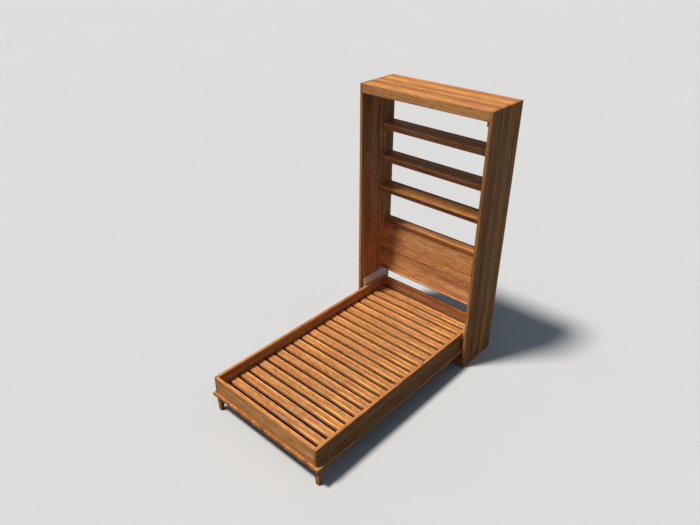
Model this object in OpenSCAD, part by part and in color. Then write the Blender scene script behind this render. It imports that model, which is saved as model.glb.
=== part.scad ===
// Single vertical wall bed: a tall open-backed cabinet with shelves and a slanted headboard, and a
// slatted bed box on a door panel that folds up into it on two spring-assisted side pivots.
// Millimetres. X runs across the width, +Y points into the wall and +Z is up.
// The origin is on the floor at the wall, midway between the cabinet sides. The bed is drawn open.

/* [Cabinet] */
// Width over the two sides
cab_w = 1150; // [1120:5:1250]
// Depth from the wall to the front edge
cab_d = 400; // [396:1:420]
// Height of the sides
cab_h = 2136; // [2120:1:2200]
// Thickness of the side panels
side_t = 24; // [22:1:28]
// Thickness of the top panel and of the header in front of it
top_t = 24; // [18:1:28]
// Height of the header
header_h = 71; // [60:1:72]
// Height of the plinth
plinth_h = 76; // [60:1:76]
// Thickness of the plinth
plinth_t = 22; // [18:1:24]
// Thickness of the rails at the wall
rail_back_t = 20; // [16:1:24]
// Height of the rail that is screwed to the wall
wall_rail_h = 90; // [80:1:120]
// Radius of the wall screw holes
wall_hole_r = 4; // [3:0.5:5]
// Distance between wall screw holes across the cabinet
wall_hole_dx = 800; // [600:50:900]
// Distance between wall screw holes up the rail
wall_hole_dz = 50; // [40:5:60]

/* [Shelves] */
// Thickness of a shelf board
shelf_t = 20; // [16:1:22]
// Depth of a shelf board
shelf_d = 145; // [140:1:150]
// Height of the apron under a shelf board
apron_h = 40; // [20:1:60]
// Thickness of an apron
apron_t = 16; // [12:1:20]
// How far an apron stands back from the shelf's front edge
apron_recess = 12; // [8:1:20]
// Height of the lowest shelf pin hole
pin_z0 = 1006; // [950:1:1040]
// Spacing of the shelf pin holes
pin_pitch = 25; // [20:1:25]
// Number of shelf pin holes in one column
pin_count = 36; // [34:1:38]
// Shelf pin hole carrying the lower shelf, counted from zero
pin_low = 8; // [4:1:12]
// Shelf pin hole carrying the middle shelf
pin_mid = 19; // [15:1:24]
// Shelf pin hole carrying the upper shelf
pin_up = 30; // [27:1:33]

/* [Headboard] */
// Height of the top of the ledge
ledge_z = 895; // [860:1:920]
// Depth of the ledge
ledge_d = 95; // [90:1:100]
// Thickness of the ledge
ledge_t = 25; // [18:1:30]
// Height of the lower edge of the slanted panel
board_z0 = 445; // [430:1:470]
// How far the lower edge leans out past the upper edge
board_lean = 55; // [40:1:65]
// Thickness of the slanted panel
board_t = 18; // [12:1:20]
// How far the lip stands out under the panel
lip_out = 18; // [10:1:24]

/* [Bed] */
// Gap between the door panel and the cabinet sides
door_gap = 2.5; // [2:0.5:4]
// Thickness of the door panel
door_t = 26; // [24:1:28]
// Length of the door panel
door_l = 1976; // [1960:1:1980]
// Outer width of the bed box
box_w = 1046; // [1040:1:1046]
// Outer length of the bed box
box_l = 1949; // [1930:1:1950]
// Height of the bed box above the door panel
box_h = 150; // [140:1:160]
// Thickness of the bed box rails
rail_t = 22; // [18:1:24]
// Number of slats
slat_n = 21; // [15:1:21]
// Width of a slat
slat_w = 62; // [50:1:62]
// Thickness of a slat
slat_t = 20; // [12:1:22]
// Height of the top of the slats above the door panel
slat_z = 58; // [50:1:70]

/* [Legs and handles] */
// Distance from the middle of the bed to a leg
leg_x = 516; // [510:1:516]
// Width of a leg at the top
leg_top = 42; // [38:1:42]
// Width of a leg at the floor
leg_foot = 28; // [20:1:34]
// Distance between the two screws of a handle
handle_c = 96; // [64:32:128]
// Thickness of the handle bar
handle_bar = 10; // [8:1:12]
// How far the handle stands out from the door
handle_out = 32; // [28:1:40]

/* [Lift mechanism] */
// Height of the pivot, and its depth behind the door face, measured from the door underside
pivot_z = 273; // [273:1:273]
// Pitch radius of the lift gear
gear_r = 45; // [45:1:45]
// Number of teeth that would go round the whole lift gear
gear_n = 30; // [30:1:30]
// Radius of the pivot shaft
shaft_r = 10; // [8:0.5:10]
// Turns in a lift spring
spring_turns = 7; // [5:1:7]

/* [Hidden] */
$fn = 48;

in_x = cab_w / 2 - side_t;
front = -cab_d;
top_z = cab_h - top_t;
head_z = cab_h - header_h;

// Door panel and bed box, drawn with the bed open
door_z = 146;
pivot_y = front + pivot_z - door_z;
door_head = pivot_y + 187;
door_foot = door_head - door_l;
door_x = in_x - door_gap;
box_z = door_z + door_t;
box_top = box_z + box_h;
box_head = door_head - 13;
box_foot = box_head - box_l;
box_x = box_w / 2;
well_x = box_x - rail_t;
well_head = box_head - rail_t;
well_foot = box_foot + rail_t;
slat_top = box_z + slat_z;
slat_head_gap = 27;
slat_pitch = (well_head - well_foot - slat_head_gap - slat_w) / (slat_n - 1);
slat_screw_x = well_x - 10;
slat_screw_l = slat_t + 18;

// Legs
leg_front = door_foot + 22;
pin_y = leg_front + 28;
pocket_z = door_z + 20;
leg_head = pocket_z - 3.5;
leg_round = leg_head - 148.5;
leg_pin_z = 148.5;
leg_pin_r = 4;

// Handles
handle_x = 32;
handle_y = pivot_y - 803;
bar_r = handle_bar / 2;
bar_z = door_z - handle_out + bar_r;

// Shelf pins
pin_r = 2.5;
pin_front_y = -132;
pin_rear_y = -30;
function pin_z(k) = pin_z0 + k * pin_pitch;
function shelf_z(k) = pin_z(k) + 3;

// Dowels between the sides and the boards that meet them: [y, z]
dowel_r = 4;
dowel_l = 32;
top_dowels = [for (y = [front + 60, front / 2, -40]) [y, cab_h - top_t / 2]];
header_dowels = [for (z = [head_z + 18, cab_h - 18]) [front + top_t / 2, z]];
plinth_dowels = [[front + plinth_t / 2, plinth_h / 2]];
wall_dowels = [for (z = [28, 62]) [-rail_back_t / 2, top_z - wall_rail_h + z]];
base_dowels = [for (z = [20, 56]) [-rail_back_t / 2, z * plinth_h / 76]];
ledge_dowels = [[-50, ledge_z - ledge_t / 2]];
side_dowels = concat(top_dowels, header_dowels, plinth_dowels, wall_dowels, base_dowels, ledge_dowels);

// Dowels in the bed box: [y, z] at its corners, and y where the door panel meets a side rail
corner_z = [box_z + 30, box_top - 30];
foot_dowels = [for (z = corner_z) [box_foot + rail_t / 2, z]];
head_dowels = [for (z = corner_z) [box_head - rail_t / 2, z]];
panel_dowel_y = [for (k = [0 : 4]) box_head - 90 - k * 390];
panel_dowel_in = 14;

// Lift mechanism, left hand
plate_t = 3;
plate_x = -in_x;
case_x = plate_x + plate_t;
case_out = -box_x - 2;
case_wall = 2;
case_front = front + 29;
case_back = front + 347;
case_z0 = door_z + 108;
case_z1 = door_z + 257;
works_x = case_x + 10;
post_y = [case_front + 8, case_back - 8];
post_z = [case_z0 + 9, case_z1 - 9];
bush_r = 14;
bush_depth = 14;
module_m = 2 * gear_r / gear_n;
tooth_pitch = PI * module_m;
backlash = 0.24;
rack_z = pivot_z + gear_r;
bar_z0 = rack_z + 4;
bar_z1 = rack_z + 16;
works_z = (bar_z0 + bar_z1) / 2;
mount_y0 = front + 184;
mount_y1 = front + 192;
head_y0 = front + 258;
head_y1 = front + 264;
rod_dz = 26;
rod_r = 4;
guide_x = works_x + 7;
guide_y = [pivot_y - 27, pivot_y + 27];
guide_screw_y = [pivot_y - 18, pivot_y + 18];
guide_screw_z = bar_z1 + 7;

wood = [0.72, 0.46, 0.25];
wood_dark = [0.60, 0.36, 0.19];
wood_light = [0.80, 0.53, 0.30];
steel = [0.72, 0.73, 0.75];
zinc = [0.62, 0.63, 0.65];

// A board given by its low and high corners
module board(low, high) {
    translate(low)
        cube(high - low);
}

// A rod along X
module rod_x(x0, x1, y, z, r) {
    translate([x0, y, z])
        rotate([0, 90, 0])
            cylinder(h = x1 - x0, r = r);
}

// A rod along Y
module rod_y(y0, y1, x, z, r) {
    translate([x, y0, z])
        rotate([-90, 0, 0])
            cylinder(h = y1 - y0, r = r);
}

// A shape in the YZ plane stretched along X from x0 to x1
module slab_x(x0, x1) {
    translate([x0, 0, 0])
        rotate([90, 0, 90])
            linear_extrude(x1 - x0)
                children();
}

// Blind dowel holes in both ends of a board that reaches half a width to each side
module end_holes(places, half = in_x) {
    for (p = places)
        for (s = [0, 1])
            mirror([s, 0, 0])
                rod_x(half - dowel_l / 2, half + 1, p[0], p[1], dowel_r);
}

// A countersunk screw along +Z from its head down, with the head's face at z
module flat_screw(x, y, z, length) {
    translate([x, y, z - 2])
        cylinder(h = 2, r1 = 2, r2 = 4);
    translate([x, y, z - length])
        cylinder(h = length - 2, r = 2);
}

// Cabinet side, left hand
module side() {
    color(wood)
        difference() {
            board([-cab_w / 2, front, 0], [-in_x, 0, cab_h]);
            for (k = [0 : pin_count - 1])
                for (y = [pin_front_y, pin_rear_y])
                    rod_x(-in_x - 10, -in_x + 1, y, pin_z(k), pin_r);
            for (p = side_dowels)
                rod_x(-in_x - dowel_l / 2, -in_x + 1, p[0], p[1], dowel_r);
            rod_x(-in_x - bush_depth, -in_x + 1, pivot_y, pivot_z, bush_r);
            for (p = plate_screw_places())
                rod_x(-in_x - 13, -in_x + 1, p[0], p[1], 2.5);
        }
}

module top_panel() {
    color(wood_light)
        difference() {
            board([-in_x, front + top_t, top_z], [in_x, 0, cab_h]);
            end_holes(top_dowels);
        }
}

module header() {
    color(wood)
        difference() {
            board([-in_x, front, head_z], [in_x, front + top_t, cab_h]);
            end_holes(header_dowels);
        }
}

// The back of the top edge is bevelled to let the door's lower edge swing past
module plinth() {
    color(wood)
        difference() {
            slab_x(-in_x, in_x)
                polygon([[front, 0], [front + plinth_t, 0], [front + plinth_t, plinth_h - 12],
                    [front + 9, plinth_h], [front, plinth_h]]);
            end_holes(plinth_dowels);
        }
}

module wall_rail() {
    color(wood_dark)
        difference() {
            board([-in_x, -rail_back_t, top_z - wall_rail_h], [in_x, 0, top_z]);
            end_holes(wall_dowels);
            for (x = [-0.5, 0.5])
                for (z = [-0.5, 0.5])
                    rod_y(-rail_back_t - 1, 1, x * wall_hole_dx,
                        top_z - wall_rail_h / 2 + z * wall_hole_dz, wall_hole_r);
        }
}

module base_rail() {
    color(wood_dark)
        difference() {
            board([-in_x, -rail_back_t, 0], [in_x, 0, plinth_h]);
            end_holes(base_dowels);
        }
}

module shelf(k) {
    color(wood_light)
        board([-in_x + 0.5, -shelf_d, shelf_z(k)], [in_x - 0.5, 0, shelf_z(k) + shelf_t]);
}

// Front strip under a shelf, notched at both ends over the shelf pins
module apron(k) {
    y0 = -shelf_d + apron_recess;
    color(wood_dark)
        difference() {
            board([-in_x + 0.5, y0, shelf_z(k) - apron_h], [in_x - 0.5, y0 + apron_t, shelf_z(k)]);
            for (s = [-1, 1])
                board([s * (in_x - 6) - 6.5, y0 - 1, shelf_z(k) - 8],
                    [s * (in_x - 6) + 6.5, y0 + apron_t + 1, shelf_z(k) + 1]);
        }
}

// A pin in its hole, with a collar against the side and a peg under the shelf
module shelf_pin(y, z) {
    rod_x(-in_x - 10, -in_x, y, z, pin_r);
    rod_x(-in_x, -in_x + 9, y, z, 3);
}

module shelf_pins() {
    color(zinc)
        for (k = [pin_low, pin_mid, pin_up])
            for (y = [pin_front_y, pin_rear_y])
                for (s = [0, 1])
                    mirror([s, 0, 0])
                        shelf_pin(y, pin_z(k));
}

board_top = ledge_z - ledge_t;
board_front = -ledge_d + 8;
board_run = board_t / cos(atan(board_lean / (board_top - board_z0)));

module headboard() {
    color(wood)
        slab_x(-in_x, in_x)
            polygon([[board_front - board_lean, board_z0], [board_front, board_top],
                [board_front + board_run, board_top],
                [board_front - board_lean + board_run, board_z0]]);
}

module headboard_ledge() {
    color(wood_light)
        difference() {
            board([-in_x, -ledge_d, board_top], [in_x, 0, ledge_z]);
            end_holes(ledge_dowels);
        }
}

module headboard_lip() {
    color(wood_light)
        board([-in_x, board_front - board_lean - lip_out, board_z0 - 12],
            [in_x, board_front - board_lean + board_run, board_z0]);
}

// Batten behind the slanted panel, left hand
module headboard_cleat() {
    rise = board_top - board_z0;
    y0 = board_front - board_lean + board_run;
    color(wood_dark)
        slab_x(-in_x, -in_x + 20)
            polygon([[y0 + board_lean * 20 / rise, board_z0 + 20],
                [y0 + board_lean * (rise - 10) / rise, board_top - 10],
                [y0 + board_lean * (rise - 10) / rise + 20, board_top - 10],
                [y0 + board_lean * 20 / rise + 20, board_z0 + 20]]);
}

// Block that stops the closed door, left hand
module stop_block() {
    color(wood_dark)
        board([-in_x, front + door_t + 0.3, head_z - 42], [-in_x + 26, front + door_t + 36, head_z]);
}

module cabinet_dowels() {
    color([0.85, 0.70, 0.50])
        for (p = side_dowels)
            for (s = [0, 1])
                mirror([s, 0, 0])
                    rod_x(-in_x - dowel_l / 2, -in_x + dowel_l / 2, p[0], p[1], dowel_r);
}

function plate_screw_places() = [for (y = [case_front + 24, case_back - 24])
    for (z = [case_z0 + 14, case_z1 - 14]) [y, z]];

// Plate on the cabinet side that carries the works, with four posts for the cover screws, left hand
module lift_plate() {
    color(steel)
        difference() {
            union() {
                board([plate_x, case_front, case_z0], [case_x, case_back, case_z1]);
                for (y = post_y)
                    for (z = post_z)
                        rod_x(case_x - 1, case_out - case_wall, y, z, 5);
            }
            rod_x(plate_x - 1, case_x + 1, pivot_y, pivot_z, bush_r);
            for (y = post_y)
                for (z = post_z)
                    rod_x(case_out - 14, case_out, y, z, 2);
            for (p = plate_screw_places())
                rod_x(plate_x - 1, case_x + 1, p[0], p[1], 2.5);
            for (y = guide_screw_y)
                rod_x(plate_x - 1, case_x + 1, y, guide_screw_z, 1.5);
        }
}

// Folded sheet cover, left hand
module lift_casing() {
    color(steel)
        difference() {
            board([case_x, case_front, case_z0], [case_out, case_back, case_z1]);
            board([case_x - 1, case_front + case_wall, case_z0 + case_wall],
                [case_out - case_wall, case_back - case_wall, case_z1 - case_wall]);
            rod_x(case_out - 5, case_out + 1, pivot_y, pivot_z, shaft_r + 2);
            for (y = post_y)
                for (z = post_z)
                    translate([case_out - case_wall, y, z])
                        rotate([0, 90, 0])
                            cylinder(h = case_wall, r1 = 2, r2 = 4);
        }
}

// Flanged bearing sleeve, left hand
module pivot_bush() {
    color([0.76, 0.60, 0.30])
        difference() {
            union() {
                rod_x(-in_x - bush_depth, case_x, pivot_y, pivot_z, bush_r);
                rod_x(case_x, case_x + 1.5, pivot_y, pivot_z, bush_r + 2);
            }
            rod_x(-in_x - bush_depth - 1, case_x + 3, pivot_y, pivot_z, shaft_r + 0.05);
        }
}

// Fixed end of the spring pack, with a window for the rack, left hand
module spring_mount() {
    color(zinc)
        difference() {
            board([case_x, mount_y0, works_z - 42],
                [case_out - case_wall - 0.5, mount_y1, works_z + 42]);
            board([works_x - 4.5, mount_y0 - 1, rack_z - module_m - 0.5],
                [works_x + 4.5, mount_y1 + 1, bar_z1 + 0.5]);
            for (s = [-1, 1])
                rod_y(mount_y0 - 1, mount_y1 + 1, works_x, works_z + s * rod_dz, rod_r);
        }
}

// Block on the plate that keeps the rack down on the gear, left hand
module rack_guide() {
    color([0.76, 0.60, 0.30])
        difference() {
            board([case_x, guide_y[0], bar_z1 + 0.2], [guide_x, guide_y[1], bar_z1 + 14]);
            for (y = guide_screw_y)
                rod_x(case_x - 1, guide_x + 1, y, guide_screw_z, 1.5);
        }
}

module guide_rods() {
    color(zinc)
        for (m = [0, 1])
            mirror([m, 0, 0])
                for (s = [-1, 1])
                    rod_y(mount_y0, case_back - case_wall - 0.5, works_x, works_z + s * rod_dz, rod_r);
}

// Cross-section, square to its axis, of a coil of mean radius r, wire radius w and pitch p
function coil_cut(r, w, p, n = 4) = concat(
    [for (i = [0 : n]) let (t = 180 * i / n, a = w * 360 / p * cos(t))
        (r + w * sin(t)) * [cos(a), sin(a)]],
    [for (i = [1 : n - 1]) let (t = 180 * i / n, a = -w * 360 / p * cos(t))
        (r - w * sin(t)) * [cos(a), sin(a)]]);

module coil(r, w, length, turns) {
    linear_extrude(height = length, twist = -360 * turns, slices = 12 * turns, $fn = 8)
        polygon(coil_cut(r, w, length / turns));
}

// Compression springs on the guide rods, at their shortest with the bed down
module lift_springs() {
    color([0.35, 0.36, 0.38])
        for (m = [0, 1])
            mirror([m, 0, 0])
                for (s = [-1, 1])
                    translate([works_x, mount_y1 + 0.1, works_z + s * rod_dz])
                        rotate([-90, 0, 0])
                            coil(6.5, 1.9, head_y0 - mount_y1 - 0.2, spring_turns);
}

// Wood screws through the plates and machine screws through the covers
module lift_screws() {
    color(zinc)
        for (m = [0, 1])
            mirror([m, 0, 0]) {
                for (p = plate_screw_places()) {
                    rod_x(plate_x - 12, case_x, p[0], p[1], 2.5);
                    rod_x(case_x, case_x + 2.5, p[0], p[1], 4.5);
                }
                for (y = guide_screw_y) {
                    rod_x(plate_x, guide_x, y, guide_screw_z, 1.5);
                    rod_x(guide_x, guide_x + 2.5, y, guide_screw_z, 3);
                }
                for (y = post_y)
                    for (z = post_z) {
                        rod_x(case_out - 12, case_out - case_wall, y, z, 2);
                        translate([case_out - case_wall, y, z])
                            rotate([0, 90, 0])
                                cylinder(h = case_wall, r1 = 2, r2 = 4);
                    }
            }
}

handle_y_ends = [handle_y - handle_c / 2, handle_y + handle_c / 2];
plate_y = [pivot_y - 50, pivot_y + 50];
plate_z = [pivot_z - 40, pivot_z + 40];
bracket_screw_y = [pin_y - 9, pin_y + 7];
bracket_screw_z = pocket_z - 3;

// Door panel that carries the bed box, with a pocket for each folded leg
module door_panel() {
    color(wood)
        difference() {
            board([-door_x, door_foot, door_z], [door_x, door_head, box_z]);
            for (s = [-1, 1]) {
                board([s * leg_x - 25, leg_front - 5, door_z - 1],
                    [s * leg_x + 25, pin_y + 152, pocket_z]);
                for (y = handle_y_ends)
                    translate([s * handle_x, y, door_z - 1])
                        cylinder(h = door_t + 2, r = 2.25);
                for (y = panel_dowel_y)
                    translate([s * (box_x - rail_t / 2), y, box_z - panel_dowel_in])
                        cylinder(h = panel_dowel_in + 1, r = dowel_r);
                for (y = bracket_screw_y)
                    translate([s * (box_x - rail_t / 2), y, pocket_z - 1])
                        cylinder(h = box_z - pocket_z + 2, r = 2);
            }
        }
}

// Long side of the bed box with a recess for the pivot plate, left hand
module side_rail() {
    color(wood)
        difference() {
            board([-box_x, box_foot, box_z], [-well_x, box_head, box_top]);
            board([-box_x - 1, plate_y[0], plate_z[0]], [-box_x + 4, plate_y[1], plate_z[1]]);
            for (p = hinge_screw_places())
                rod_x(-box_x, -box_x + 16, p[0], p[1], 2);
            for (p = concat(foot_dowels, head_dowels))
                rod_x(-well_x - panel_dowel_in, -well_x + 1, p[0], p[1], dowel_r);
            for (y = panel_dowel_y)
                translate([-box_x + rail_t / 2, y, box_z - 1])
                    cylinder(h = dowel_l / 2 + 1, r = dowel_r);
            for (y = bracket_screw_y)
                translate([-box_x + rail_t / 2, y, box_z - 1])
                    cylinder(h = bracket_screw_z + 25 - box_z + 1, r = 2);
        }
}

function hinge_screw_places() = [for (y = [-36, 36]) for (z = [-28, 28]) [pivot_y + y, pivot_z + z]];

module head_rail() {
    color(wood)
        difference() {
            board([-well_x, well_head, box_z], [well_x, box_head, box_top]);
            end_holes(head_dowels, well_x);
        }
}

module foot_rail() {
    color(wood)
        difference() {
            board([-well_x, box_foot, box_z], [well_x, well_foot, box_top]);
            end_holes(foot_dowels, well_x);
        }
}

// Dowels between the rails at the corners, and up from the door panel into the side rails
module bed_dowels() {
    color([0.85, 0.70, 0.50])
        for (s = [0, 1])
            mirror([s, 0, 0]) {
                for (p = concat(foot_dowels, head_dowels))
                    rod_x(-well_x - panel_dowel_in, -well_x + dowel_l / 2, p[0], p[1], dowel_r);
                for (y = panel_dowel_y)
                    translate([-box_x + rail_t / 2, y, box_z - panel_dowel_in])
                        cylinder(h = panel_dowel_in + dowel_l / 2, r = dowel_r);
            }
}

// Batten under the slat ends, left hand
module slat_ledger() {
    color(wood_dark)
        difference() {
            board([-well_x, well_foot + 1, slat_top - slat_t - 30],
                [-well_x + 20, well_head - 1, slat_top - slat_t]);
            for (k = [0 : slat_n - 1])
                flat_screw(-slat_screw_x, slat_y(k) + slat_w / 2, slat_top, slat_screw_l);
        }
}

function slat_y(k) = well_foot + 0.5 + k * slat_pitch;

module slats() {
    color(wood_light)
        for (k = [0 : slat_n - 1])
            difference() {
                board([-well_x + 1, slat_y(k), slat_top - slat_t],
                    [well_x - 1, slat_y(k) + slat_w, slat_top]);
                for (x = [-slat_screw_x, slat_screw_x])
                    flat_screw(x, slat_y(k) + slat_w / 2, slat_top, slat_screw_l);
            }
}

// Screws that hold the slats down on the battens when the bed stands upright
module slat_screws() {
    color(zinc)
        for (k = [0 : slat_n - 1])
            for (x = [-slat_screw_x, slat_screw_x])
                flat_screw(x, slat_y(k) + slat_w / 2, slat_top, slat_screw_l);
}

// Bow handle on the outer face of the door at x
module door_handle(x) {
    bend = 2 * bar_r;
    color(steel)
        difference() {
            union() {
                for (s = [-1, 1]) {
                    translate([x, handle_y + s * handle_c / 2, bar_z + bend])
                        cylinder(h = door_z - bar_z - bend, r = bar_r);
                    translate([x, handle_y + s * (handle_c / 2 - bend), bar_z + bend])
                        rotate([0, 0, s * 90])
                            rotate([-90, 0, 0])
                                rotate_extrude(angle = 90)
                                    translate([bend, 0])
                                        circle(r = bar_r);
                }
                rod_y(handle_y - handle_c / 2 + bend, handle_y + handle_c / 2 - bend, x, bar_z, bar_r);
            }
            for (y = handle_y_ends)
                translate([x, y, door_z - 12])
                    cylinder(h = 13, r = 2);
        }
}

// Plate let into the bed rail with the pivot shaft welded to it, left hand
module pivot_plate() {
    color(steel)
        difference() {
            union() {
                board([-box_x, plate_y[0], plate_z[0]], [-box_x + 4, plate_y[1], plate_z[1]]);
                rod_x(-in_x - bush_depth + 1, -box_x + 1, pivot_y, pivot_z, shaft_r);
            }
            for (p = hinge_screw_places()) {
                rod_x(-box_x - 1, -box_x + 5, p[0], p[1], 2);
                translate([-box_x, p[0], p[1]])
                    rotate([0, 90, 0])
                        cylinder(h = 2, r1 = 4, r2 = 2);
            }
        }
}

// Involute tooth flank: half the tooth's angle at radius r
function inv(a) = tan(a) * 180 / PI - a;
base_r = gear_r * cos(20);
function half_angle(r) = 90 / gear_n - backlash / 2 / gear_r * 180 / PI + inv(20)
    - (r > base_r ? inv(acos(base_r / r)) : 0);
function polar(r, a) = r * [cos(a), sin(a)];
tooth_r = [for (i = [0 : 5]) base_r + (gear_r + module_m - base_r) * i / 5];

module gear_tooth(a) {
    polygon(concat([polar(gear_r - 5, a - half_angle(base_r))],
        [for (r = tooth_r) polar(r, a - half_angle(r))],
        [for (i = [5 : -1 : 0]) polar(tooth_r[i], a + half_angle(tooth_r[i]))],
        [polar(gear_r - 5, a + half_angle(base_r))]));
}

// Toothed sector fixed on the pivot shaft, left hand
module gear_sector() {
    color(zinc)
        translate([works_x - 5, pivot_y, pivot_z])
            rotate([90, 0, 90])
                difference() {
                    linear_extrude(10)
                        union() {
                            circle(r = 16);
                            polygon(concat([[0, 0]],
                                [for (a = [72 : 3 : 201]) polar(gear_r - 1.25 * module_m, a)]));
                            for (k = [-1 : 9])
                                gear_tooth(90 + k * 360 / gear_n);
                        }
                    translate([0, 0, -1])
                        cylinder(h = 12, r = shaft_r);
                }
}

// Rack, pull bar and crosshead in one piece, left hand
module lift_rack() {
    half = tooth_pitch / 4 - backlash / 4;
    tip = half - module_m * tan(20);
    root = half + 1.25 * module_m * tan(20);
    root_z = 1.25 * module_m;
    color(zinc)
        difference() {
            union() {
                slab_x(works_x - 4, works_x + 4)
                    union() {
                        polygon([[pivot_y - 88, rack_z + root_z], [head_y0, rack_z + root_z],
                            [head_y0, bar_z1], [pivot_y - 88, bar_z1]]);
                        for (k = [-9 : 0])
                            translate([pivot_y + (k + 0.5) * tooth_pitch, rack_z])
                                polygon([[-tip, -module_m], [tip, -module_m], [root, root_z],
                                    [root, root_z + 1], [-root, root_z + 1], [-root, root_z]]);
                    }
                board([works_x - 8, head_y0, works_z - 38], [works_x + 8, head_y1, works_z + 38]);
            }
            for (s = [-1, 1])
                rod_y(head_y0 - 1, head_y1 + 1, works_x, works_z + s * rod_dz, rod_r + 0.4);
        }
}

// Steel cheeks that hold the leg pin, set in the pocket of the door panel, at x
module leg_bracket(x) {
    color(zinc)
        difference() {
            union() {
                board([x - 24.5, pin_y - 14, pocket_z - 3], [x + 24.5, pin_y + 12, pocket_z]);
                for (s = [-1, 1])
                    board([x + s * 23 - 1.5, pin_y - 14, leg_pin_z - 7],
                        [x + s * 23 + 1.5, pin_y + 12, pocket_z]);
            }
            rod_x(x - 30, x + 30, pin_y, leg_pin_z, leg_pin_r);
            bracket_screws(sign(x));
        }
}

// Screws up through a leg bracket and the door panel into the side rail on side s
module bracket_screws(s) {
    for (y = bracket_screw_y)
        mirror([0, 0, 1])
            flat_screw(s * (box_x - rail_t / 2), y, -bracket_screw_z, 25);
}

module leg_pins() {
    color(steel)
        for (s = [-1, 1])
            rod_x(s * leg_x - 24.8, s * leg_x + 24.8, pin_y, leg_pin_z, leg_pin_r);
}

// Screws of the handles, pivot plates and leg brackets
module bed_screws() {
    color(zinc)
        for (m = [0, 1])
            mirror([m, 0, 0]) {
                bracket_screws(1);
                for (y = handle_y_ends)
                    translate([handle_x, y, 0]) {
                        translate([0, 0, door_z - 11])
                            cylinder(h = door_t + 11, r = 2);
                        translate([0, 0, box_z])
                            cylinder(h = 2.5, r = 4);
                    }
                for (p = hinge_screw_places()) {
                    translate([-box_x, p[0], p[1]])
                        rotate([0, 90, 0])
                            cylinder(h = 2, r1 = 4, r2 = 2);
                    rod_x(-box_x + 2, -box_x + 15, p[0], p[1], 2);
                }
            }
}

// Tapered leg with a rounded head that turns on the pin, at x
module leg(x) {
    half_top = leg_top / 2;
    half_foot = leg_foot / 2;
    color(wood)
        difference() {
            intersection() {
                slab_x(x - half_top, x + half_top)
                    union() {
                        polygon([[leg_front, 0], [leg_front + leg_foot, 0],
                            [pin_y + leg_round, leg_pin_z - 6], [pin_y + leg_round, leg_pin_z],
                            [pin_y, leg_head], [leg_front, leg_head]]);
                        translate([pin_y, leg_pin_z])
                            circle(r = leg_round);
                    }
                translate([x, 1, 0])
                    translate([0, leg_front + leg_top + 10, 0])
                        rotate([90, 0, 0])
                            linear_extrude(leg_top + 20)
                                polygon([[-half_foot, 0], [half_foot, 0], [half_top, leg_pin_z - 6],
                                    [half_top, leg_head], [-half_top, leg_head],
                                    [-half_top, leg_pin_z - 6]]);
            }
            rod_x(x - 30, x + 30, pin_y, leg_pin_z, leg_pin_r + 0.05);
        }
}

module right() {
    mirror([1, 0, 0])
        children();
}

side();  // side_left
right() side();  // side_right
top_panel();
header();
plinth();
wall_rail();
base_rail();
shelf(pin_up);  // shelf_upper
shelf(pin_mid);  // shelf_middle
shelf(pin_low);  // shelf_lower
apron(pin_up);  // apron_upper
apron(pin_mid);  // apron_middle
apron(pin_low);  // apron_lower
shelf_pins();
headboard();
headboard_ledge();
headboard_lip();
headboard_cleat();  // headboard_cleat_left
right() headboard_cleat();  // headboard_cleat_right
stop_block();  // stop_block_left
right() stop_block();  // stop_block_right
cabinet_dowels();
lift_plate();  // lift_plate_left
right() lift_plate();  // lift_plate_right
lift_casing();  // lift_casing_left
right() lift_casing();  // lift_casing_right
pivot_bush();  // pivot_bush_left
right() pivot_bush();  // pivot_bush_right
spring_mount();  // spring_mount_left
right() spring_mount();  // spring_mount_right
rack_guide();  // rack_guide_left
right() rack_guide();  // rack_guide_right
guide_rods();
lift_springs();
lift_screws();
door_panel();
side_rail();  // side_rail_left
right() side_rail();  // side_rail_right
head_rail();
foot_rail();
slat_ledger();  // slat_ledger_left
right() slat_ledger();  // slat_ledger_right
slats();
slat_screws();
bed_dowels();
door_handle(-handle_x);  // door_handle_left
door_handle(handle_x);  // door_handle_right
pivot_plate();  // pivot_plate_left
right() pivot_plate();  // pivot_plate_right
gear_sector();  // gear_sector_left
right() gear_sector();  // gear_sector_right
leg_bracket(-leg_x);  // leg_bracket_left
leg_bracket(leg_x);  // leg_bracket_right
leg_pins();
bed_screws();
lift_rack();  // lift_rack_left
right() lift_rack();  // lift_rack_right
leg(-leg_x);  // leg_left
leg(leg_x);  // leg_right
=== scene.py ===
import math

import bmesh
import bpy
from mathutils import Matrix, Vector


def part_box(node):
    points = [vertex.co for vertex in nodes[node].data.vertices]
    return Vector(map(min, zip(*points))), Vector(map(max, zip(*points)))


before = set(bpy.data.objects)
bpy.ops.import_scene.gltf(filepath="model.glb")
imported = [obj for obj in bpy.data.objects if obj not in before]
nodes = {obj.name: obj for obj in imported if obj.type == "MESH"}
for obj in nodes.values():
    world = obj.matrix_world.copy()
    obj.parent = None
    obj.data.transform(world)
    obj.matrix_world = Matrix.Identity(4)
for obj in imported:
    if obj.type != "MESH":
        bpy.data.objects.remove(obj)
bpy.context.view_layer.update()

X, Y, Z = 0, 1, 2
LOW, HIGH = 0, 1


def tone(red, green, blue):
    """A colour as written on a screen, 0 to 255 a channel, turned into the shader's own scale."""
    def linear(value):
        value /= 255
        return value / 12.92 if value <= 0.04045 else ((value + 0.055) / 1.055) ** 2.4
    return (linear(red), linear(green), linear(blue), 1.0)


# ---- Wood: its tones, and how the bands lie across each board ----

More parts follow.
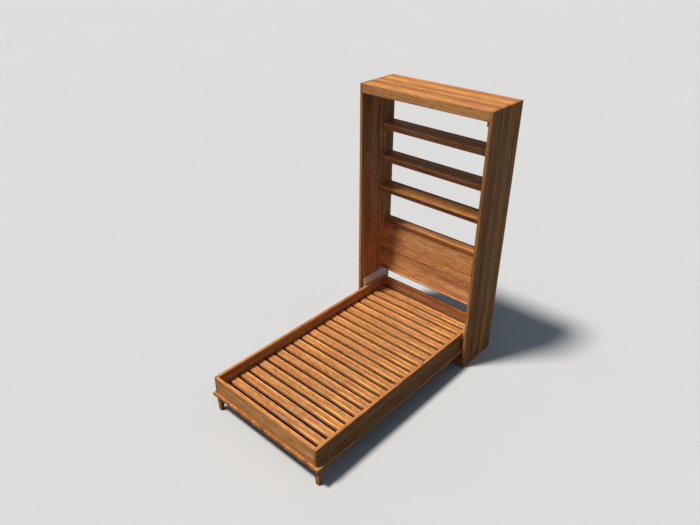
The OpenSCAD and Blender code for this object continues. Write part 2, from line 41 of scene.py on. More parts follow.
GOLD = tone(240, 170, 98)
AMBER = tone(220, 150, 88)
PALE = tone(216, 154, 100)
TAN = tone(208, 142, 86)
OLIVE = tone(202, 146, 84)
RUSSET = tone(194, 126, 78)
UMBER = tone(172, 108, 68)
DARK = tone(142, 88, 56)
CALM = tone(202, 139, 85)
DOWEL_PALE = tone(222, 186, 136)
DOWEL_TAN = tone(206, 166, 114)
SAPWOOD = tone(250, 186, 110)
ASHEN = tone(196, 152, 104)
RED_FLECK = tone(176, 106, 70)

# Each list runs across the board from its low edge to its high edge: (share of the width, tone)
CASE_BANDS = [
    (0.0, TAN), (0.08, AMBER), (0.14, TAN), (0.20, RUSSET), (0.27, UMBER), (0.34, RUSSET),
    (0.39, PALE), (0.50, PALE), (0.55, RUSSET), (0.585, UMBER), (0.62, RUSSET), (0.67, GOLD),
    (0.77, GOLD), (0.83, AMBER), (0.90, RUSSET), (0.95, TAN), (1.0, AMBER)]
HEADER_BANDS = [
    (0.0, RUSSET), (0.15, TAN), (0.3, AMBER), (0.45, TAN), (0.6, AMBER), (0.75, TAN), (0.9, AMBER),
    (1.0, AMBER)]
DOOR_BANDS = [
    (0.0, TAN), (0.06, PALE), (0.105, DARK), (0.13, TAN), (0.172, UMBER), (0.20, PALE),
    (0.245, OLIVE), (0.28, DARK), (0.31, AMBER), (0.36, RUSSET), (0.405, UMBER), (0.43, PALE),
    (0.47, TAN), (0.508, DARK), (0.53, OLIVE), (0.57, PALE), (0.613, UMBER), (0.64, RUSSET),
    (0.685, DARK), (0.71, PALE), (0.75, TAN), (0.793, UMBER), (0.82, AMBER), (0.87, PALE),
    (0.91, DARK), (0.94, TAN), (1.0, OLIVE)]
SHELF_BANDS = [
    (0.0, AMBER), (0.15, TAN), (0.28, AMBER), (0.38, RUSSET), (0.50, TAN), (0.62, AMBER),
    (0.76, PALE), (0.86, RUSSET), (1.0, TAN)]
LEDGE_BANDS = [(0.0, AMBER), (0.3, GOLD), (0.5, AMBER), (0.62, RUSSET), (0.8, AMBER), (1.0, TAN)]
HEADBOARD_BANDS = [
    (0.0, RUSSET), (0.07, TAN), (0.13, GOLD), (0.18, PALE), (0.23, TAN), (0.28, RUSSET),
    (0.33, UMBER), (0.38, RUSSET), (0.43, UMBER), (0.48, TAN), (0.55, AMBER), (0.60, TAN),
    (0.63, RUSSET), (0.69, AMBER), (0.78, TAN), (0.83, GOLD), (0.88, AMBER), (0.94, TAN),
    (1.0, UMBER)]
FOOT_BANDS = [
    (0.0, AMBER), (0.08, TAN), (0.20, RUSSET), (0.30, UMBER), (0.40, OLIVE), (0.60, GOLD),
    (0.70, AMBER), (0.85, OLIVE), (0.93, RUSSET), (1.0, OLIVE)]
RAIL_BANDS = [
    (0.0, RUSSET), (0.10, TAN), (0.22, RUSSET), (0.31, RUSSET), (0.38, UMBER), (0.45, TAN),
    (0.55, RUSSET), (0.63, AMBER), (0.70, TAN), (0.78, RUSSET), (0.86, UMBER), (0.94, TAN),
    (1.0, AMBER)]
LONG_RAIL_BANDS = [
    (0.0, UMBER), (0.12, RUSSET), (0.22, TAN), (0.30, RUSSET), (0.38, UMBER), (0.48, RUSSET),
    (0.62, TAN), (0.74, PALE), (0.84, RUSSET), (0.92, TAN), (1.0, AMBER)]
PLINTH_BANDS = [
    (0.0, UMBER), (0.2, RUSSET), (0.4, PALE), (0.55, AMBER), (0.7, TAN), (0.85, PALE), (1.0, AMBER)]
SLAT_BANDS = [
    (0.0, AMBER), (0.12, AMBER), (0.28, TAN), (0.45, AMBER), (0.60, RUSSET), (0.74, AMBER),
    (0.86, AMBER), (1.0, GOLD)]
STRIP_BANDS = [(0.0, TAN), (0.2, AMBER), (0.45, RUSSET), (0.6, TAN), (0.8, PALE), (1.0, AMBER)]
DOWEL_BANDS = [(0.0, DOWEL_PALE), (1.0, DOWEL_TAN)]

DARK_STREAK = (0.60, 0.49, 0.42, 1.0)
LIGHT_STREAK = (1.26, 1.30, 1.30, 1.0)
YELLOW_STREAK = (1.42, 1.50, 1.36, 1.0)
WARM_STREAK = (0.99, 0.86, 0.78, 1.0)

# Noise drawn out along the grain: scale across the grain, scale along it, detail, roughness
SWAY = (5.0, 0.8, 1.0, 0.5)
RIPPLE = (34.0, 1.6, 3.0, 0.5)
FADE = (7.0, 1.7, 1.0, 0.5)
BROAD = (36.0, 0.6, 3.0, 0.6)
FINE = (84.0, 1.5, 3.0, 0.62)
MOTTLE = (84.0, 8.0, 2.5, 0.6)
FLECKS = (125.0, 16.0, 2.0, 0.5)
WARMTH = (11.0, 1.1, 2.0, 0.5)
FIBRE = (620.0, 9.0, 3.0, 0.6)
PORES = (900.0, 42.0, 1.0, 0.5)
END_RINGS = (260.0, 260.0, 60.0)

BAND_STRAY = 0.05
FULL_STRAY_WIDTH = 0.15
BAND_RIPPLE = 0.010
BAND_SLOPE = 0.6
BROAD_SHARE, FINE_SHARE, MOTTLE_SHARE = 0.30, 0.36, 0.34
NEXT_BOARD, NEXT_SLAT = 3.7, 1.3
WOOD_SPECULAR = 0.05
SKIN = 0.0012


class Recipe:
    """The nodes of one material, written one after another."""

    def __init__(self, name):
        self.material = bpy.data.materials.new(name)
        self.material.use_nodes = True
        self.tree = self.material.node_tree
        self.shader = self.tree.nodes["Principled BSDF"]
        self.place = self.tree.nodes.new("ShaderNodeTexCoord").outputs["Object"]

    def put(self, socket, value):
        """Links a socket to another node's output, or sets it to a plain value."""
        if isinstance(value, bpy.types.NodeSocket):
            self.tree.links.new(value, socket)
        else:
            socket.default_value = value

    def sum(self, kind, a, b=0.0, c=0.0):
        """A Math node of any kind."""
        node = self.tree.nodes.new("ShaderNodeMath")
        node.operation = kind
        for socket, value in zip(node.inputs, (a, b, c)):
            self.put(socket, value)
        return node.outputs[0]

    def off(self, value, middle):
        """How far a value is from a middle, either way."""
        return self.sum("ABSOLUTE", self.sum("SUBTRACT", value, middle))

    def split(self, vector):
        node = self.tree.nodes.new("ShaderNodeSeparateXYZ")
        self.put(node.inputs[0], vector)
        return list(node.outputs)

    def join(self, x, y, z):
        node = self.tree.nodes.new("ShaderNodeCombineXYZ")
        for socket, value in zip(node.inputs, (x, y, z)):
            self.put(socket, value)
        return node.outputs[0]

    def stretch(self, vector, scale, shift=(0, 0, 0)):
        node = self.tree.nodes.new("ShaderNodeMapping")
        self.put(node.inputs["Vector"], vector)
        self.put(node.inputs["Location"], shift)
        self.put(node.inputs["Scale"], scale)
        return node.outputs[0]

    def noise(self, vector, detail=2.0, roughness=0.5):
        node = self.tree.nodes.new("ShaderNodeTexNoise")
        self.put(node.inputs["Vector"], vector)
        self.put(node.inputs["Scale"], 1.0)
        self.put(node.inputs["Detail"], detail)
        self.put(node.inputs["Roughness"], roughness)
        return node.outputs["Fac"]

    def streaks(self, grain, kind, fineness=1.0, length=1.0, shift=(0, 0, 0)):
        """Noise drawn out along the grain, narrower with fineness and longer with length."""
        across, along, detail, roughness = kind
        scale = (across * fineness, along / length, across * fineness)
        return self.noise(self.stretch(grain, scale, shift), detail, roughness)

    def span(self, value, low, high, new_low, new_high, smooth=False):
        """Takes low..high to new_low..new_high, clamped."""
        node = self.tree.nodes.new("ShaderNodeMapRange")
        node.interpolation_type = "SMOOTHSTEP" if smooth else "LINEAR"
        for socket, number in zip(node.inputs, (value, low, high, new_low, new_high)):
            self.put(socket, number)
        return node.outputs[0]

    def ramp(self, value, stops):
        """A colour read off a list of (place, tone)."""
        node = self.tree.nodes.new("ShaderNodeValToRGB")
        self.put(node.inputs[0], value)
        elements = node.color_ramp.elements
        elements[0].position, elements[0].color = stops[0]
        elements[1].position, elements[1].color = stops[-1]
        for position, colour in stops[1:-1]:
            elements.new(position).color = colour
        return node.outputs[0]

    def blend(self, share, a, b, kind="MIX"):
        node = self.tree.nodes.new("ShaderNodeMix")
        node.data_type = "RGBA"
        node.blend_type = kind
        self.put(node.inputs[0], share)
        self.put(node.inputs[6], a)
        self.put(node.inputs[7], b)
        return node.outputs[2]

    def tint(self, colour, by):
        """A colour with its red, green and blue each taken up or down."""
        return self.blend(1.0, colour, (*by, 1.0), "MULTIPLY")

    def dim(self, colour, amount):
        """A colour made darker or lighter by an amount."""
        node = self.tree.nodes.new("ShaderNodeVectorMath")
        node.operation = "SCALE"
        self.put(node.inputs[0], colour[:3] if isinstance(colour, tuple) else colour)
        self.put(node.inputs["Scale"], amount)
        return node.outputs[0]

    def relief(self, height, depth, strength):
        node = self.tree.nodes.new("ShaderNodeBump")
        self.put(node.inputs["Height"], height)
        node.inputs["Distance"].default_value = depth
        node.inputs["Strength"].default_value = strength
        self.put(self.shader.inputs["Normal"], node.outputs[0])

    def finish(self, colour, roughness, **constants):
        """Joins the colour and roughness to the shader, and sets its constants."""
        self.put(self.shader.inputs["Base Color"], colour)
        self.put(self.shader.inputs["Roughness"], roughness)
        for name, value in constants.items():
            self.shader.inputs[name.replace("_", " ")].default_value = value
        return self.material


def banded(recipe, grain, reach, inward, board_width, bands, wander):
    """The bands across a board, bent a little on their way along it and faded to tan in places."""
    sway = recipe.streaks(grain, SWAY)
    ripple = recipe.streaks(grain, RIPPLE)
    stray = BAND_STRAY * wander * min(1.0, board_width / FULL_STRAY_WIDTH)
    bent = recipe.sum("MULTIPLY_ADD", recipe.sum("SUBTRACT", sway, 0.5), stray, reach)
    bent = recipe.sum("MULTIPLY_ADD", recipe.sum("SUBTRACT", ripple, 0.5), BAND_RIPPLE, bent)
    bent = recipe.sum("MULTIPLY_ADD", inward, BAND_SLOPE, bent)
    colour = recipe.ramp(recipe.sum("DIVIDE", bent, board_width), bands)
    fade = recipe.streaks(grain, FADE, shift=(9.2, 0, 0))
    return recipe.blend(recipe.span(fade, 0.42, 0.62, 0.0, 0.7), colour, TAN)


def rubbed_and_highlit_edges(recipe, colour, roughness, gaps, along, grain, mottle):
    """Lighter edges, as wear and as a painted highlight, rougher edges, and darker end grain; gaps are the
    depths below the faces of the board.
    """
    a, b, c = gaps
    higher_of_two = recipe.sum("MAXIMUM", a, b)
    lower_of_two = recipe.sum("MINIMUM", a, b)
    edge_gap = recipe.sum("MAXIMUM", lower_of_two, recipe.sum("MINIMUM", higher_of_two, c))
    rub = recipe.sum("MULTIPLY", mottle, 0.005)
    wear_and_highlight = recipe.span(recipe.sum("SUBTRACT", edge_gap, rub), -0.002, 0.001, 1.0, 0.0, smooth=True)
    # wear and painted highlight: the edges are lightened
    colour = recipe.blend(recipe.sum("MULTIPLY", wear_and_highlight, 0.22), colour, recipe.dim(colour, 1.3))
    roughness = recipe.sum("MULTIPLY_ADD", wear_and_highlight, 0.10, roughness)
    end = recipe.span(gaps[along], 0.0004, SKIN, 1.0, 0.0)
    rings = recipe.span(recipe.noise(recipe.stretch(grain, END_RINGS)), 0.3, 0.7, 0.78, 1.02)
    colour = recipe.blend(end, colour, recipe.dim(colour, rings))
    return colour, recipe.sum("MULTIPLY_ADD", end, 0.14, roughness)


def oiled_wood(name, box, along, across, bands, seed, glow=1.0, square=True, pitch=None, width=None,
               figure=None, calm=0.0, fineness=1.0, wander=1.0, length=1.0, light_streak=LIGHT_STREAK):
    """Banded, oiled hardwood for one board that fills a box, with its grain along one axis.

    A board that isn't square to the axes has no worn, highlit edges. With a pitch, the box holds a row of
    equal boards of one width. calm evens the bands out, fineness narrows the streaks, wander is how far the
    bands stray, and length is how far the streaks and flecks run along the grain.
    """
    low, high = box
    thick = X + Y + Z - along - across
    recipe = Recipe(name)
    parts = recipe.split(recipe.place)
    reach = recipe.sum("SUBTRACT", parts[across], low[across])
    board_width = width or high[across] - low[across]
    turn = seed * NEXT_BOARD
    if pitch:
        count = recipe.sum("FLOOR", recipe.sum("DIVIDE", reach, pitch))
        reach = recipe.sum("SUBTRACT", reach, recipe.sum("MULTIPLY", count, pitch))
        turn = recipe.sum("MULTIPLY_ADD", count, NEXT_SLAT, turn)
    grain = recipe.join(parts[across], parts[along], recipe.sum("ADD", parts[thick], turn))
    inward = recipe.sum("SUBTRACT", parts[thick], low[thick])
    colour = banded(recipe, grain, reach, inward, board_width, bands, wander)

    broad = recipe.streaks(grain, BROAD, fineness, length)
    fine = recipe.streaks(grain, FINE, fineness, length)
    mottle = recipe.streaks(grain, MOTTLE, length=length)
    flecks = recipe.streaks(grain, FLECKS, length=length)
    warmth = recipe.streaks(grain, WARMTH, shift=(3.1, 0, 0))
    fibre = recipe.streaks(grain, FIBRE)
    pores = recipe.streaks(grain, PORES)

    figuring = recipe.sum("MULTIPLY_ADD", broad, BROAD_SHARE, recipe.sum("MULTIPLY", fine, FINE_SHARE))
    figuring = recipe.sum("MULTIPLY_ADD", mottle, MOTTLE_SHARE, figuring)
    streak = recipe.blend(recipe.span(figuring, 0.39, 0.61, 0.0, 1.0), DARK_STREAK, light_streak)
    colour = recipe.blend(1.0, colour, streak, "MULTIPLY")
    if calm:
        colour = recipe.blend(calm, colour, CALM)
    fibre_shade = recipe.span(fibre, 0.2, 0.8, 0.88, 1.10)
    pore_shade = recipe.span(pores, 0.60, 0.72, 1.0, 0.78)
    shade = recipe.sum("MULTIPLY", fibre_shade, pore_shade)
    colour = recipe.dim(colour, recipe.sum("MULTIPLY", shade, glow))
    fleck = recipe.span(flecks, 0.54, 0.65, 0.0, 0.80)
    colour = recipe.blend(fleck, colour, recipe.dim(colour, 0.58))
    warm = recipe.span(warmth, 0.42, 0.66, 0.0, 0.55)
    colour = recipe.blend(warm, colour, WARM_STREAK, "MULTIPLY")
    roughness = recipe.span(figuring, 0.38, 0.62, 0.60, 0.48)
    if figure:
        colour = figure(recipe, colour, parts, reach)

    if square:
        gaps = []
        for axis in (X, Y, Z):
            value, middle, half = parts[axis], (low[axis] + high[axis]) / 2, (high[axis] - low[axis]) / 2
            if axis == across and pitch:
                value, middle, half = reach, board_width / 2, board_width / 2
            gaps.append(recipe.sum("SUBTRACT", half, recipe.off(value, middle)))
        colour, roughness = rubbed_and_highlit_edges(recipe, colour, roughness, gaps, along, grain, mottle)

    height = recipe.sum("ADD", recipe.sum("MULTIPLY", fibre, 0.6), recipe.sum("MULTIPLY", pores, -0.5))
    recipe.relief(height, depth=0.00025, strength=0.35)
    return recipe.finish(colour, roughness, Specular_IOR_Level=WOOD_SPECULAR)


# ---- Figures: what one board shows beside its grain, painted light and shade among it. reach is the place across the board ----

def face_share(recipe, value, face, side):
    """1 on the skin of a board at one face, and 0 deeper in; side is 1 at a high face and -1 at a low one."""
    inward = recipe.sum("MULTIPLY", recipe.sum("SUBTRACT", face, value), float(side))
    return recipe.span(inward, 0.0, SKIN, 1.0, 0.0)


def front_share(recipe, parts, node):
    """1 on the front edge of a board, and 0 behind it."""
    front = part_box(node)[LOW].y
    return recipe.span(parts[Y], front, front + 0.0015, 1.0, 0.0)


def painted_light_face(node, axis, side, tint):
    """A figure that gives one face of a board its own tint, painted light and shade for how light falls on
    that face.
    """
    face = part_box(node)[HIGH if side > 0 else LOW][axis]

    def figure(recipe, colour, parts, reach):
        skin = face_share(recipe, parts[axis], face, side)
        # painted light and shade: the tint on this one face
        return recipe.blend(skin, colour, recipe.tint(colour, tint))
    return figure


def slat_figure(recipe, colour, parts, reach):
    """Sapwood on each slat's front edge, an ashen patch, two clusters of red flecks, and a paler left end."""
    def patch(x, across, long, wide):
        """A soft oval, by its middle and its half length and half width."""
        along_share = recipe.sum("DIVIDE", recipe.sum("SUBTRACT", parts[X], x), long)
        across_share = recipe.sum("DIVIDE", recipe.sum("SUBTRACT", reach, across), wide)
        size = recipe.tree.nodes.new("ShaderNodeVectorMath")
        size.operation = "LENGTH"
        recipe.put(size.inputs[0], recipe.join(along_share, across_share, 0.0))
        return recipe.span(size.outputs["Value"], 0.45, 1.0, 1.0, 0.0, smooth=True)

    cloud = recipe.noise(recipe.stretch(recipe.place, (24.0, 70.0, 24.0)), detail=3.0)
    sap_patch = patch(x=0.30, across=0.009, long=0.17, wide=0.011)
    sap = recipe.sum("MULTIPLY", sap_patch, recipe.span(cloud, 0.3, 0.55, 0.5, 1.0))
    colour = recipe.blend(sap, colour, SAPWOOD)
    ash = recipe.sum("MULTIPLY", patch(x=0.07, across=0.007, long=0.09, wide=0.016), 0.6)
    colour = recipe.blend(ash, colour, ASHEN)
    for x, across in ((-0.10, 0.022), (0.22, 0.036)):
        cluster = patch(x, across, long=0.12, wide=0.020)
        spots = recipe.sum("MULTIPLY", cluster, recipe.span(cloud, 0.48, 0.60, 0.0, 0.7))
        colour = recipe.blend(spots, colour, RED_FLECK)
    colour = recipe.dim(colour, recipe.span(parts[X], -0.50, -0.05, 1.09, 1.0))
    return recipe.tint(colour, (1.06, 1.12, 1.18))


def painted_shade_on_door_panel(recipe, colour, parts, reach):
    """Painted shade on the door panel: its inner face is dimmed nearly black under the slats and tinted
    greyer and bluer along its margins beside the bed box, for the cool light in the shade there; its outer
    face is paler.
    """
    low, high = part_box("slats")
    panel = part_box("door_panel")
    inner_face = face_share(recipe, parts[Z], panel[HIGH].z, 1)
    outer_face = face_share(recipe, parts[Z], panel[LOW].z, -1)
    covered = inner_face
    for axis, middle in ((X, 0.0), (Y, (low.y + high.y) / 2)):
        half = (high[axis] - low[axis]) / 2
        within = recipe.span(recipe.off(parts[axis], middle), half, half + 0.001, 1.0, 0.0)
        covered = recipe.sum("MULTIPLY", covered, within)
    box_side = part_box("side_rail_right")[HIGH].x
    margin = recipe.span(recipe.sum("ABSOLUTE", parts[X]), box_side, box_side + 0.001, 0.0, 1.0)
    # painted shade: a greyer, bluer tint on the inner face beside the bed box
    greyer = recipe.tint(colour, (0.98, 1.30, 1.75))
    colour = recipe.blend(recipe.sum("MULTIPLY", margin, inner_face), colour, greyer)
    colour = recipe.blend(outer_face, colour, recipe.dim(colour, 1.18))
    # painted shade: the inner face under the slats dimmed nearly black
    return recipe.blend(covered, colour, recipe.dim(colour, 0.09))


def pinned_side(node, side, tint):
    """A figure for the inner face of a side panel: a tint, painted light and shade for how light falls on
    that face, and painted shade as a dark ring round each shelf pin hole.
    """
    hole_count = 36
    pitches_between_pins = 22
    holes_below_pins = 8
    pin_radius = 0.0025
    rim_inside, rim_outside = 0.0055, 0.0080
    low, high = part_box("shelf_pins")
    pitch = (high.z - low.z - 2 * pin_radius) / pitches_between_pins
    lowest_hole = low.z + pin_radius - holes_below_pins * pitch
    middle_hole = lowest_hole + (hole_count - 1) / 2 * pitch
    half_column = hole_count / 2 * pitch
    columns_middle = (low.y + high.y) / 2
    columns_half = (high.y - low.y) / 2 - pin_radius
    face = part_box(node)[HIGH if side > 0 else LOW].x

    def figure(recipe, colour, parts, reach):
        skin = face_share(recipe, parts[X], face, side)
        # painted light and shade: the tint on this one face
        colour = recipe.blend(skin, colour, recipe.tint(colour, tint))
        step = recipe.sum("DIVIDE", recipe.sum("SUBTRACT", parts[Z], lowest_hole - pitch / 2), pitch)
        up = recipe.sum("MULTIPLY", recipe.sum("SUBTRACT", recipe.sum("FRACT", step), 0.5), pitch)
        out = recipe.sum("SUBTRACT", recipe.off(parts[Y], columns_middle), columns_half)
        squares = recipe.sum("ADD", recipe.sum("MULTIPLY", up, up), recipe.sum("MULTIPLY", out, out))
        # painted shade: a dark ring round each shelf pin hole
        rim = recipe.span(recipe.sum("SQRT", squares), rim_inside, rim_outside, 0.85, 0.0)
        beyond = recipe.off(parts[Z], middle_hole)
        in_column = recipe.span(beyond, half_column, half_column + 0.001, 1.0, 0.0)
        rim = recipe.sum("MULTIPLY", rim, in_column)
        return recipe.blend(recipe.sum("MULTIPLY", rim, skin), colour, recipe.dim(colour, 0.25))
    return figure


def greyed_lip(recipe, colour, parts, reach):
    """The lip under the headboard is tinted greyer and bluer than the rest."""
    return recipe.tint(colour, (0.98, 1.28, 1.60))


def greyed_headboard(recipe, colour, parts, reach):
    """The headboard is tinted a little greyer and bluer than the rest, painted light that cools the warm
    bounce light in its shade.
    """
    return recipe.tint(colour, (1.01, 1.12, 1.38))


def painted_shadow_line(recipe, colour, parts, reach):
    """A painted shadow line: a dark line along the front of the ledge, a little below the middle of its
    height.
    """
    low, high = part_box("headboard_ledge")
    line_height = low.z + 0.45 * (high.z - low.z)
    near_line = recipe.span(recipe.off(parts[Z], line_height), 0.0030, 0.0042, 0.9, 0.0)
    line = recipe.sum("MULTIPLY", front_share(recipe, parts, "headboard_ledge"), near_line)
    # painted shadow: the dark line along the ledge's front
    return recipe.blend(line, colour, recipe.dim(colour, 0.22))


def shelf_faces(recipe, colour, parts, reach):
    """A shelf board is tinted darker and olive as painted shade, and its front edge lighter and bluer as
    painted light.
    """
    # painted shade on the board, and painted light on its front edge
    painted_shade = recipe.tint(colour, (0.72, 0.74, 0.56))
    painted_light_edge = recipe.tint(colour, (1.44, 1.66, 2.15))
    return recipe.blend(front_share(recipe, parts, "shelf_lower"), painted_shade, painted_light_edge)


def metal(name, colour, roughness, brushed=None, tarnish=0.15, spread=0.08, metallic=1.0):
    """Satin metal, brushed along one axis where one is named."""
    recipe = Recipe(name)
    scale = [900.0, 900.0, 900.0]
    if brushed is not None:
        scale[brushed] = 12.0
    lines = recipe.noise(recipe.stretch(recipe.place, scale), detail=3.0, roughness=0.6)
    cloud = recipe.noise(recipe.stretch(recipe.place, (28.0, 28.0, 28.0)), detail=4.0, roughness=0.6)
    shade = recipe.span(cloud, 0.3, 0.7, 1.0 - tarnish, 1.0)
    shade = recipe.sum("MULTIPLY", shade, recipe.span(lines, 0.3, 0.7, 0.93, 1.05))
    rough = recipe.span(cloud, 0.3, 0.7, roughness + spread, roughness)
    rough = recipe.sum("MULTIPLY_ADD", recipe.sum("SUBTRACT", lines, 0.5), 0.10, rough)
    recipe.relief(lines, depth=0.00008, strength=0.25)
    return recipe.finish(recipe.dim(colour, shade), rough, Metallic=metallic)


def clothe(node, material):
    """Gives a CAD node its material."""
    data = nodes[node].data
    data.materials.clear()
    data.materials.append(material)


def ease(node, width):
    """Rounds the edges of a CAD solid a little, as sanding or pressing does."""
    piece = nodes[node]
    weld = piece.modifiers.new("weld", "WELD")
    weld.merge_threshold = 0.00002
    flatten = piece.modifiers.new("flatten", "DECIMATE")
    flatten.decimate_type = "DISSOLVE"
    flatten.angle_limit = math.radians(0.6)
    bevel = piece.modifiers.new("bevel", "BEVEL")
    bevel.width = width
    bevel.segments = 2
    bevel.limit_method = "ANGLE"
    bevel.angle_limit = math.radians(32.0)
    bevel.harden_normals = False


# ---- Boards: node, axis of the grain, axis across it, bands, brightness ----

FIGURES = {
    "door_panel": painted_shade_on_door_panel,
    "side_left": pinned_side("side_left", 1, (0.98, 1.22, 1.52)),
    "side_right": pinned_side("side_right", -1, (0.92, 1.08, 1.22)),
    "top_panel": painted_light_face("top_panel", Z, 1, (1.20, 1.22, 1.10)),
    "header": painted_light_face("header", Y, -1, (1.0, 1.08, 1.16)),
    "foot_rail": painted_light_face("foot_rail", Y, -1, (1.0, 1.08, 1.05)),
    "head_rail": painted_light_face("head_rail", Y, -1, (0.88, 1.02, 1.25)),
    "side_rail_left": painted_light_face("side_rail_left", X, 1, (0.76, 0.90, 1.28)),
    "side_rail_right": painted_light_face("side_rail_right", X, 1, (0.86, 0.90, 0.94)),
    "shelf_upper": shelf_faces,
    "shelf_middle": shelf_faces,
    "shelf_lower": shelf_faces,
    "apron_upper": painted_light_face("apron_upper", Y, -1, (1.06, 1.06, 1.22)),
    "apron_middle": painted_light_face("apron_middle", Y, -1, (1.06, 1.06, 1.22)),
    "apron_lower": painted_light_face("apron_lower", Y, -1, (1.04, 1.06, 1.25)),
    "headboard_ledge": painted_shadow_line,
    "headboard_lip": greyed_lip,
}
CALMER = {"header": 0.15}
LONGER = {"door_panel": 2.2, "side_left": 1.8, "side_right": 2.2, "top_panel": 1.8}
BOARDS = [
    ("side_left", Z, Y, CASE_BANDS, 1.0),
    ("side_right", Z, Y, CASE_BANDS, 1.0),
    ("top_panel", X, Y, CASE_BANDS, 1.0),
    # header: brightness raised as painted light on its front face
    ("header", X, Z, HEADER_BANDS, 1.24),
    ("plinth", X, Z, PLINTH_BANDS, 1.0),
    ("wall_rail", X, Z, STRIP_BANDS, 0.9),
    ("base_rail", X, Z, STRIP_BANDS, 0.9),
    ("shelf_upper", X, Y, SHELF_BANDS, 1.0),
    ("shelf_middle", X, Y, SHELF_BANDS, 1.0),
    ("shelf_lower", X, Y, SHELF_BANDS, 1.0),
    # aprons: brightness raised on the upper two and lowered on the lower one, painted light and shade on
    # their fronts
    ("apron_upper", X, Z, STRIP_BANDS, 1.25),
    ("apron_middle", X, Z, STRIP_BANDS, 1.25),
    ("apron_lower", X, Z, STRIP_BANDS, 0.72),
    # ledge: brightness lowered as painted shade
    ("headboard_ledge", X, Y, LEDGE_BANDS, 0.87),
    ("headboard_lip", X, Y, LEDGE_BANDS, 1.12),
    ("stop_block_left", Z, X, STRIP_BANDS, 0.8),
    ("stop_block_right", Z, X, STRIP_BANDS, 0.8),
    ("door_panel", Y, X, DOOR_BANDS, 1.1),
    ("side_rail_left", Y, Z, LONG_RAIL_BANDS, 1.0),
    ("side_rail_right", Y, Z, LONG_RAIL_BANDS, 1.0),
    ("head_rail", X, Z, RAIL_BANDS, 1.0),
    # foot rail: brightness raised as painted light on its front face
    ("foot_rail", X, Z, FOOT_BANDS, 1.36),
    ("slat_ledger_left", Y, Z, STRIP_BANDS, 0.8),
    ("slat_ledger_right", Y, Z, STRIP_BANDS, 0.8),
]
for seed, (node, along, across, bands, glow) in enumerate(BOARDS, start=1):
    clothe(node, oiled_wood(
        node + "_wood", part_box(node), along, across, bands, seed, glow, figure=FIGURES.get(node),
        calm=CALMER.get(node, 0.0), length=LONGER.get(node, 1.0)))

clothe("headboard", oiled_wood(
    "headboard_wood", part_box("headboard"), X, Z, HEADBOARD_BANDS, 31, 1.08, square=False,
    figure=greyed_headboard, calm=0.10, fineness=1.45, wander=0.45, light_streak=YELLOW_STREAK))

SHAPED_BOARDS = [
    ("headboard_cleat_left", Z, Y, 0.9), ("headboard_cleat_right", Z, Y, 0.9),
    ("leg_left", Z, X, 1.0), ("leg_right", Z, X, 1.0),
]
for seed, (node, along, across, glow) in enumerate(SHAPED_BOARDS, start=32):
    clothe(node, oiled_wood(
        node + "_wood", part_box(node), along, across, STRIP_BANDS, seed, glow, square=False))

SLAT_COUNT = 21
SLAT_WIDTH = 0.062
slats_low, slats_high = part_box("slats")
slat_pitch = (slats_high.y - slats_low.y - SLAT_WIDTH) / (SLAT_COUNT - 1)
clothe("slats", oiled_wood(
    "slat_wood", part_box("slats"), X, Y, SLAT_BANDS, 41, 1.05, pitch=slat_pitch, width=SLAT_WIDTH,
    figure=slat_figure, length=0.42))

dowel_wood = oiled_wood("dowel_wood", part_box("cabinet_dowels"), X, Y, DOWEL_BANDS, 43, square=False)
for node in ("cabinet_dowels", "bed_dowels"):
    clothe(node, dowel_wood)

# ---- Metals ----

casing_steel = metal("casing_steel", tone(232, 231, 233), 0.34, brushed=Z, tarnish=0.03, spread=0.03,
                     metallic=0.22)
handle_steel = metal("handle_steel", tone(208, 208, 210), 0.26, brushed=Y, tarnish=0.10)
zinc_steel = metal("zinc_steel", tone(190, 192, 196), 0.36, tarnish=0.22)
spring_steel = metal("spring_steel", tone(92, 94, 100), 0.30, tarnish=0.30)
bush_bronze = metal("bush_bronze", tone(196, 152, 84), 0.34, tarnish=0.25)
METALS = {
    casing_steel: ["lift_casing_left", "lift_casing_right"],
    handle_steel: ["door_handle_left", "door_handle_right"],
    zinc_steel: [
        "shelf_pins", "lift_plate_left", "lift_plate_right", "spring_mount_left",
        "spring_mount_right", "guide_rods", "lift_screws", "pivot_plate_left", "pivot_plate_right",
        "gear_sector_left", "gear_sector_right", "leg_bracket_left", "leg_bracket_right",
        "leg_pins", "bed_screws", "slat_screws", "lift_rack_left", "lift_rack_right"],
    spring_steel: ["lift_springs"],
    bush_bronze: ["pivot_bush_left", "pivot_bush_right", "rack_guide_left", "rack_guide_right"],
}
for material, names in METALS.items():
    for node in names:
        clothe(node, material)

# ---- Eased edges ----

WOOD_EASE = 0.0012
SHEET_EASE = 0.0010
for node in [board[0] for board in BOARDS] + ["headboard", "slats", "leg_left", "leg_right"]:
    ease(node, WOOD_EASE)
for node in ("lift_casing_left", "lift_casing_right"):
    ease(node, SHEET_EASE)

# ---- Floor, light and camera ----

FLOOR_SIZE = 40
FLOOR_LIT = tone(84, 102, 118)
FLOOR_SEEN = tone(226, 226, 226)
SKY_LIGHT = (0.095, 0.122, 0.156, 1.0)
SKY_SEEN = (0.77, 0.77, 0.76, 1.0)
SUN_STRENGTH = 2.95
SUN_WIDTH = 0.16
SUN_COLOUR = (1.0, 0.965, 0.915)
SUN_TRAVEL = Vector((0.25, 0.37, -1.0))
CAMERA_PLACE = (2.4998, -3.9046, 3.2743)
CAMERA_AIM = Vector((-0.58074, 0.63990, -0.50326))
CAMERA_SENSOR = 36.0
CAMERA_LENS = 31.198


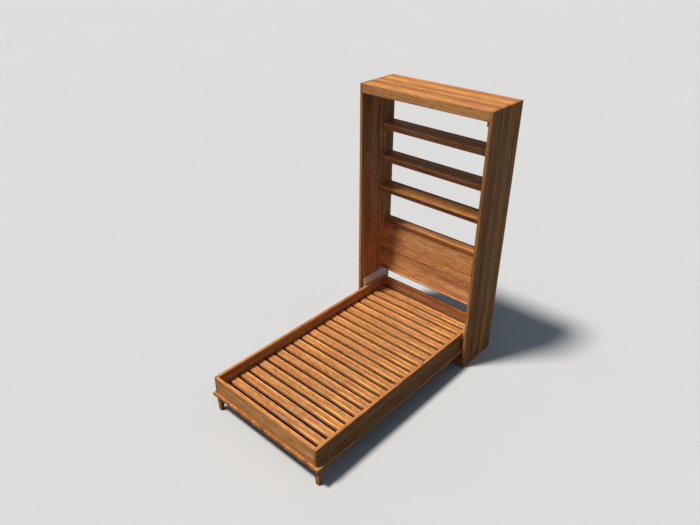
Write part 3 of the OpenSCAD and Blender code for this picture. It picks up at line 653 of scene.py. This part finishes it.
def seen_rays(tree):
    """1 for rays that show the surroundings to the camera, itself or in metal, and 0 for rays of light."""
    rays = tree.nodes.new("ShaderNodeLightPath").outputs
    seen = rays["Is Camera Ray"]
    for name in ("Is Glossy Ray", "Is Transmission Ray"):
        most = tree.nodes.new("ShaderNodeMath")
        most.operation = "MAXIMUM"
        tree.links.new(seen, most.inputs[0])
        tree.links.new(rays[name], most.inputs[1])
        seen = most.outputs[0]
    return seen


floor_mesh = bpy.data.meshes.new("floor")
shape = bmesh.new()
bmesh.ops.create_grid(shape, x_segments=1, y_segments=1, size=FLOOR_SIZE)
shape.to_mesh(floor_mesh)
shape.free()
floor = bpy.data.objects.new("floor", floor_mesh)
bpy.context.scene.collection.objects.link(floor)
floor_paint = Recipe("floor_paint")
floor_cloud = floor_paint.noise(floor_paint.stretch(floor_paint.place, (0.7, 0.7, 0.7)), detail=3.0)
floor_tone = floor_paint.blend(seen_rays(floor_paint.tree), FLOOR_LIT, FLOOR_SEEN)
floor_colour = floor_paint.dim(floor_tone, floor_paint.span(floor_cloud, 0.3, 0.7, 0.985, 1.0))
floor_mesh.materials.append(floor_paint.finish(floor_colour, 0.85, Specular_IOR_Level=0.1))

sun = bpy.data.lights.new("sun", "SUN")
sun.energy = SUN_STRENGTH
sun.angle = SUN_WIDTH
sun.color = SUN_COLOUR
sun_lamp = bpy.data.objects.new("sun", sun)
sun_lamp.rotation_euler = SUN_TRAVEL.to_track_quat("-Z", "Y").to_euler()
bpy.context.scene.collection.objects.link(sun_lamp)

world = bpy.data.worlds.new("studio")
bpy.context.scene.world = world
world.use_nodes = True
sky = world.node_tree.nodes.new("ShaderNodeMix")
sky.data_type = "RGBA"
sky.inputs[6].default_value = SKY_LIGHT
sky.inputs[7].default_value = SKY_SEEN
world.node_tree.links.new(seen_rays(world.node_tree), sky.inputs[0])
world.node_tree.links.new(sky.outputs[2], world.node_tree.nodes["Background"].inputs["Color"])

camera_data = bpy.data.cameras.new("camera")
camera_data.sensor_width = CAMERA_SENSOR
camera_data.lens = CAMERA_LENS
camera = bpy.data.objects.new("camera", camera_data)
camera.location = CAMERA_PLACE
camera.rotation_euler = CAMERA_AIM.to_track_quat("-Z", "Y").to_euler()
bpy.context.scene.collection.objects.link(camera)
bpy.context.scene.camera = camera
bpy.context.scene.view_settings.view_transform = "Standard"
